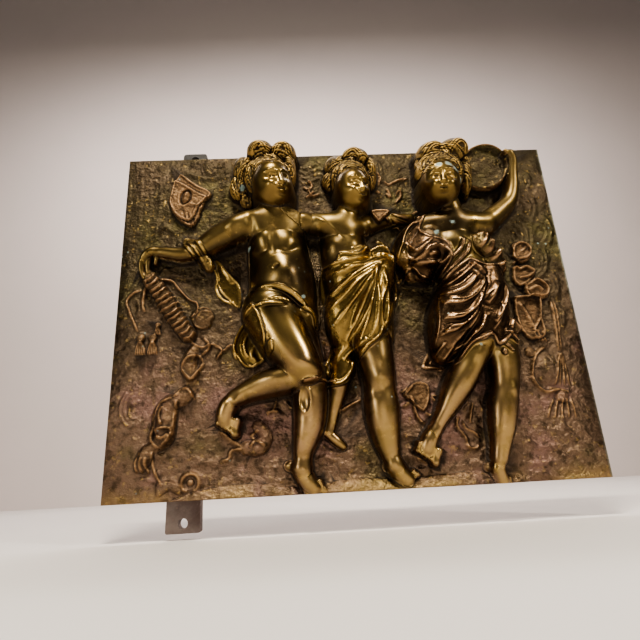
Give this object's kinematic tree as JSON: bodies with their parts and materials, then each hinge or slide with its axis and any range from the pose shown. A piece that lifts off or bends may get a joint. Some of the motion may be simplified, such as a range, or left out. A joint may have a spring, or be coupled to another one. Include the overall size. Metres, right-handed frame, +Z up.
{
  "type": "wall relief plaque",
  "caption": "Rectangular cast brass plaque with three dancing children in high relief before a landscape, on a screw-hole bar behind.",
  "frame": {"origin": "middle of the bar's back face, which lies on the wall, halfway between the bar's two ends", "axes": "+Z up the plaque, +X to the right as seen from the front, the picture faces -Y and the wall is on the +Y side"},
  "size_m": [0.34, 0.0502, 0.293],
  "materials": {
    "patinated_brass": "cast brass with dark brown patina, rubbed bright on the figures",
    "dark_bar": "dull dark grey brown bar metal"
  },
  "bodies": {
    "root": {"relief_plaque": "patinated_brass", "mounting_strap": "dark_bar"}
  },
  "joints": []
}
